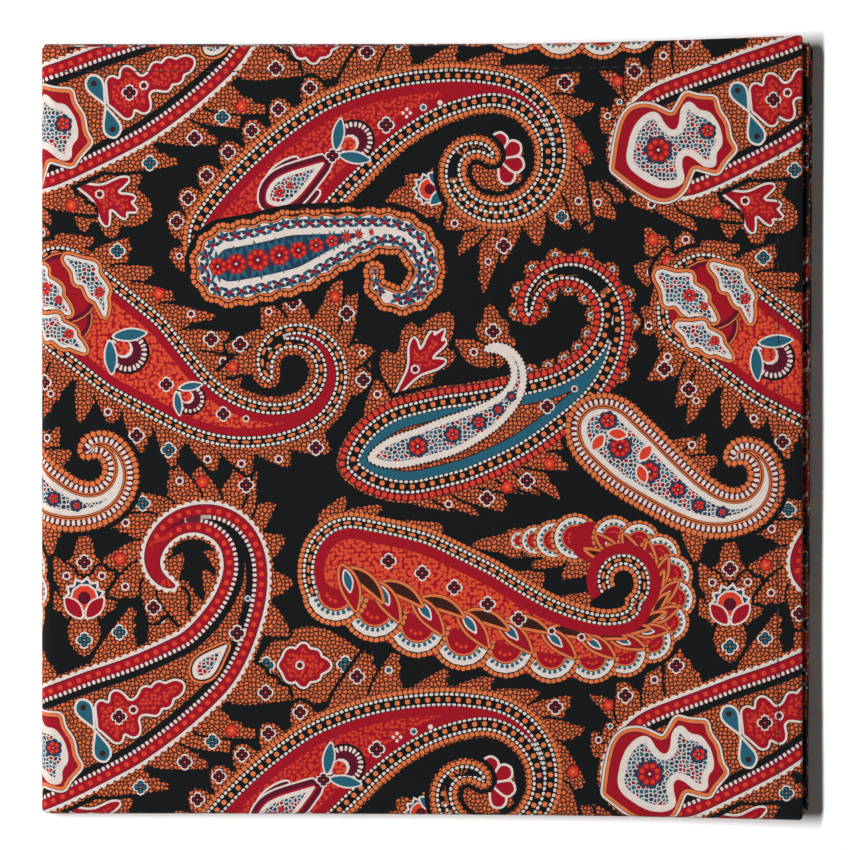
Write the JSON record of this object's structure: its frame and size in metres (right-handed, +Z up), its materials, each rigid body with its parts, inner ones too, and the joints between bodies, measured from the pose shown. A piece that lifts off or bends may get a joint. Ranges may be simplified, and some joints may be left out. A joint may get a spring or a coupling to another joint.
{
  "type": "folded pocket square",
  "caption": "Hemmed square of printed cotton twill with a paisley pattern, folded in quarters and lying flat, folds at left and front, hemmed edges at right and back.",
  "frame": {"origin": "middle of the base, on the surface that the folded cloth lies on", "axes": "+Z up out of the front quarter, +X from the second fold towards the side hems, +Y from the first fold towards the top hems"},
  "size_m": [0.1668, 0.1694, 0.0066],
  "materials": {
    "printed_cotton": "matte",
    "sewing_thread": "matte"
  },
  "bodies": {
    "root": {"outer_quarters": "printed_cotton", "outer_top_hem": "printed_cotton", "front_side_hem": "printed_cotton", "back_side_hem": "printed_cotton", "inner_quarters": "printed_cotton"}
  },
  "joints": []
}
